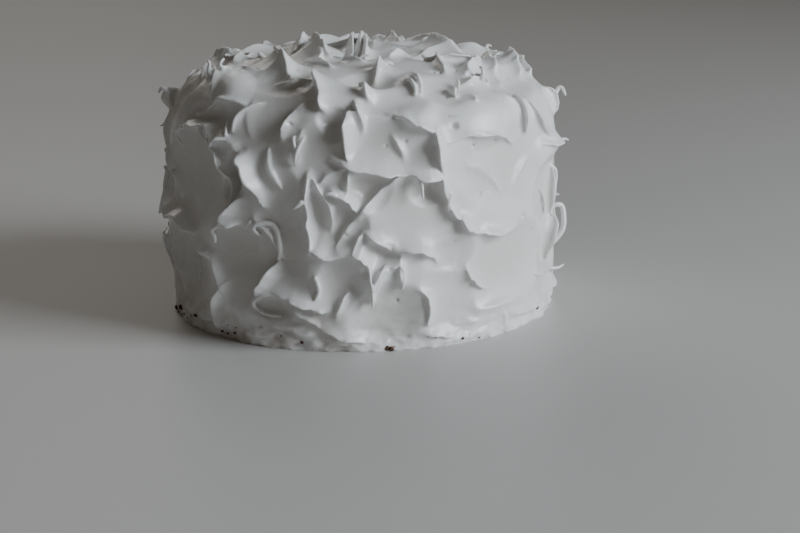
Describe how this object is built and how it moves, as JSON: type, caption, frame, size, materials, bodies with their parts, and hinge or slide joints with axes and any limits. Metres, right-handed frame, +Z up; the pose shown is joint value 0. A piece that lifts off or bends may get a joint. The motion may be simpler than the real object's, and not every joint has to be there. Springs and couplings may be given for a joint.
{
  "type": "layer cake",
  "caption": "Tall round layer cake, uncut, covered all over in white whipped icing pulled into swirls, folds and peaks; flat underneath to stand on a plate or stand.",
  "frame": {"origin": "on the flat underside, under the middle of the cake's outer box", "axes": "+Z up, the shortest side; -Y is the front, the side with the long scoops and the hanging drips"},
  "size_m": [0.238, 0.2432, 0.1634],
  "materials": {
    "icing": "smooth white whipped icing with a soft satin sheen",
    "crumb": "matte dark chocolate sponge crumbs caught in the icing at the foot"
  },
  "bodies": {
    "root": {"frosted_cake": "icing"}
  },
  "joints": []
}
